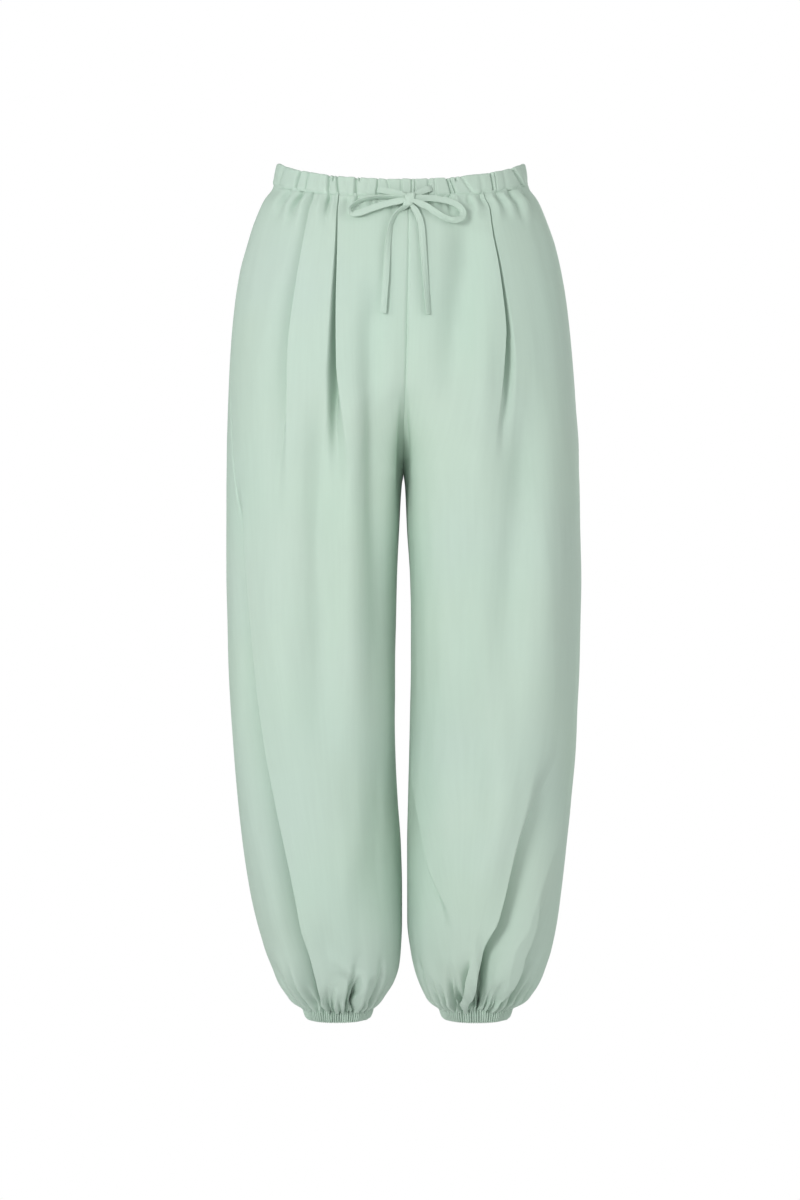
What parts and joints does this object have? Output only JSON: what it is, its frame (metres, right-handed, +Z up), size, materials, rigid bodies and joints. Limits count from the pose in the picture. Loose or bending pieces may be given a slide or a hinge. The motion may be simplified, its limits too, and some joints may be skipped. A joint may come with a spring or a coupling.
{
  "type": "balloon pants",
  "caption": "Full-length balloon trousers in light plain cloth, with a gathered drawstring waistband, pleated front and elastic ankle cuffs, filled out as if worn.",
  "frame": {"origin": "middle of the waist opening, where the wearer holds the garment up", "axes": "+Z up, the front faces -Y, the wearer's left leg at +X"},
  "size_m": [0.3956, 0.2357, 0.9578],
  "materials": {
    "cloth": "matte plain weave, mint green",
    "cuff_cloth": "matte plain weave shirred over elastic, mint green",
    "string_cloth": "matte flat self-cloth string, mint green"
  },
  "bodies": {
    "root": {"waistband_front": "cloth", "waistband_back": "cloth", "front_right": "cloth", "front_left": "cloth", "back_right": "cloth", "back_left": "cloth", "cuff_right": "cuff_cloth", "cuff_left": "cuff_cloth", "string_knot": "string_cloth", "string_loop_right": "string_cloth", "string_loop_left": "string_cloth", "string_tail_right": "string_cloth", "string_tail_left": "string_cloth", "string_lead_right": "string_cloth", "string_lead_left": "string_cloth"}
  },
  "joints": []
}
